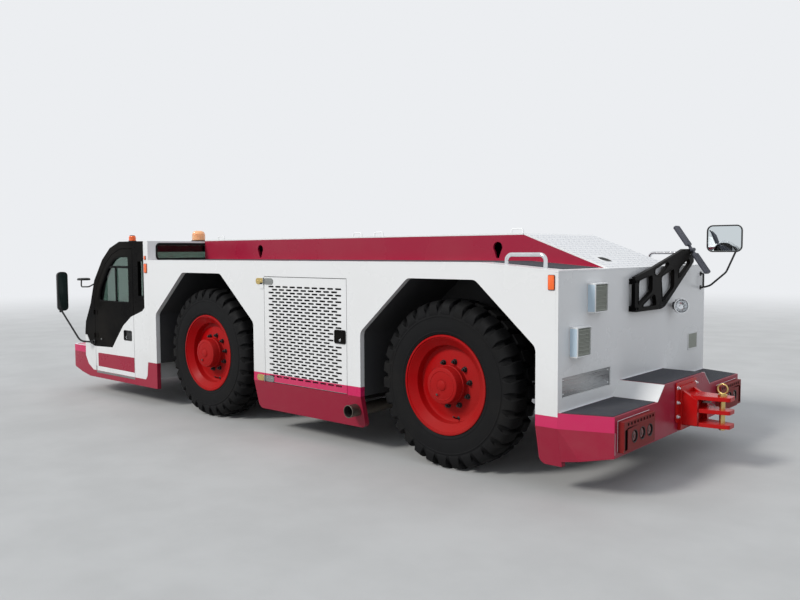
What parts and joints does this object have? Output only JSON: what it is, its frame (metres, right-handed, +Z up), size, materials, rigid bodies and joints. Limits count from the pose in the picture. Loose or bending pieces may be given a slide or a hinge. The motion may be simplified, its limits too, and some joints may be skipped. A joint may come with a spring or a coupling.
{
  "type": "aircraft pushback tractor",
  "caption": "Low four-wheel tractor that pushes aircraft by a towbar: front cab, flat deck with hood, steered wheels in hexagonal arches and towbar jaws at both ends.",
  "frame": {"origin": "on the ground, midway between the tips of the rear and front towbar jaws, on the centre plane", "axes": "+X forward, +Y to the left, +Z up"},
  "size_m": [7.44, 3.06, 1.84],
  "materials": {
    "white_paint": "gloss",
    "maroon_paint": "gloss",
    "red_paint": "gloss",
    "black_paint": "satin",
    "chassis_paint": "satin",
    "dark_trim": "matte",
    "mat": "rough",
    "tyre": "matte",
    "steel": "satin",
    "chrome": "polished",
    "zinc": "satin",
    "amber": "gloss",
    "tail_lamp": "gloss",
    "headlamp": "clear",
    "glass": "clear",
    "seat_fabric": "woven",
    "exhaust": "dull"
  },
  "bodies": {
    "tractor": {"chassis_frame": "chassis_paint", "engine_block": "black_paint", "axle_beams": "chassis_paint", "side_coolers": "black_paint", "side_panels": "white_paint", "skirts": "maroon_paint", "arch_liners": "black_paint", "rear_wall": "white_paint", "deck": "white_paint", "anti_slip_mats": "mat", "hood_sides": "maroon_paint", "rear_platform": "maroon_paint", "tail_lamps": "tail_lamp", "rear_jaw": "red_paint", "mirror_arm": "black_paint", "work_lamp": "black_paint", "front_bumper": "maroon_paint", "headlamps": "headlamp", "front_jaw": "red_paint", "cab_floor": "dark_trim", "cab_frame": "black_paint", "cab_rear_wall": "white_paint", "cab_nose": "white_paint", "cab_glass": "glass", "seats": "seat_fabric", "steering_console": "dark_trim", "front_mirrors": "dark_trim", "exhaust_pipe": "exhaust", "handrails": "chrome", "amber_lamps": "amber"},
    "hub_front_left": {"knuckle_front_left": "chassis_paint"},
    "wheel_front_left": {"tyre_front_left": "tyre", "rim_front_left": "red_paint"},
    "hub_front_right": {"knuckle_front_right": "chassis_paint"},
    "wheel_front_right": {"tyre_front_right": "tyre", "rim_front_right": "red_paint"},
    "rod_front": {"tie_rod_front": "steel"},
    "hub_rear_left": {"knuckle_rear_left": "chassis_paint"},
    "wheel_rear_left": {"tyre_rear_left": "tyre", "rim_rear_left": "red_paint"},
    "hub_rear_right": {"knuckle_rear_right": "chassis_paint"},
    "wheel_rear_right": {"tyre_rear_right": "tyre", "rim_rear_right": "red_paint"},
    "rod_rear": {"tie_rod_rear": "steel"},
    "door_left": {"cab_door_left": "white_paint", "door_frame_left": "black_paint", "door_glass_left": "glass"},
    "side_door_left": {"grille_door_left": "white_paint"},
    "door_right": {"cab_door_right": "white_paint", "door_frame_right": "black_paint", "door_glass_right": "glass"},
    "side_door_right": {"grille_door_right": "white_paint"},
    "lid_front": {"hood_lid_front": "white_paint"},
    "lid_rear": {"hood_lid_rear": "white_paint"},
    "jaw_pin": {"rear_jaw_pin": "zinc"}
  },
  "joints": [
    {"name": "steer_front_left", "type": "hinge", "parent": "tractor", "child": "hub_front_left", "pos_m": [0.83, 0.8, 0.62], "axis": [0, 0, 1], "range_deg": [-25, 25]},
    {"name": "spin_front_left", "type": "hinge", "parent": "hub_front_left", "child": "wheel_front_left", "pos_m": [0.83, 1.02, 0.62], "axis": [0, 1, 0], "continuous": true},
    {"name": "steer_front_right", "type": "hinge", "parent": "tractor", "child": "hub_front_right", "pos_m": [0.83, -0.8, 0.62], "axis": [0, 0, 1], "range_deg": [-25, 25]},
    {"name": "spin_front_right", "type": "hinge", "parent": "hub_front_right", "child": "wheel_front_right", "pos_m": [0.83, -1.02, 0.62], "axis": [0, 1, 0], "continuous": true},
    {"name": "rod_turn_front", "type": "hinge", "parent": "hub_front_left", "child": "rod_front", "pos_m": [1.13, 0.8, 0.62], "axis": [0, 0, 1], "range_deg": [-25, 25]},
    {"name": "steer_rear_left", "type": "hinge", "parent": "tractor", "child": "hub_rear_left", "pos_m": [-2.07, 0.8, 0.62], "axis": [0, 0, 1], "range_deg": [-25, 25]},
    {"name": "spin_rear_left", "type": "hinge", "parent": "hub_rear_left", "child": "wheel_rear_left", "pos_m": [-2.07, 1.02, 0.62], "axis": [0, 1, 0], "continuous": true},
    {"name": "steer_rear_right", "type": "hinge", "parent": "tractor", "child": "hub_rear_right", "pos_m": [-2.07, -0.8, 0.62], "axis": [0, 0, 1], "range_deg": [-25, 25]},
    {"name": "spin_rear_right", "type": "hinge", "parent": "hub_rear_right", "child": "wheel_rear_right", "pos_m": [-2.07, -1.02, 0.62], "axis": [0, 1, 0], "continuous": true},
    {"name": "rod_turn_rear", "type": "hinge", "parent": "hub_rear_left", "child": "rod_rear", "pos_m": [-2.37, 0.8, 0.62], "axis": [0, 0, 1], "range_deg": [-25, 25]},
    {"name": "door_left_swing", "type": "hinge", "parent": "tractor", "child": "door_left", "pos_m": [2.843, 1.2593, 0.9], "axis": [0, 0, -1], "range_deg": [0, 70]},
    {"name": "side_door_left_swing", "type": "hinge", "parent": "tractor", "child": "side_door_left", "pos_m": [-0.14, 1.256, 0.9], "axis": [0, 0, -1], "range_deg": [0, 110]},
    {"name": "door_right_swing", "type": "hinge", "parent": "tractor", "child": "door_right", "pos_m": [2.843, -1.2593, 0.9], "axis": [0, 0, 1], "range_deg": [0, 70]},
    {"name": "side_door_right_swing", "type": "hinge", "parent": "tractor", "child": "side_door_right", "pos_m": [-0.14, -1.256, 0.9], "axis": [0, 0, 1], "range_deg": [0, 110]},
    {"name": "lid_front_tilt", "type": "hinge", "parent": "tractor", "child": "lid_front", "pos_m": [0.55, -0.5583, 1.721], "axis": [1, 0, 0], "range_deg": [0, 75]},
    {"name": "lid_rear_tilt", "type": "hinge", "parent": "tractor", "child": "lid_rear", "pos_m": [-1.485, -0.5583, 1.721], "axis": [1, 0, 0], "range_deg": [0, 75]},
    {"name": "jaw_pin_lift", "type": "slide", "parent": "tractor", "child": "jaw_pin", "axis": [0, 0, 1], "range_m": [0, 0.3]}
  ],
  "couplings": [
    {"joint": "steer_front_right", "follows": "steer_front_left", "ratio": 1},
    {"joint": "rod_turn_front", "follows": "steer_front_left", "ratio": -1},
    {"joint": "steer_rear_right", "follows": "steer_rear_left", "ratio": 1},
    {"joint": "rod_turn_rear", "follows": "steer_rear_left", "ratio": -1}
  ]
}
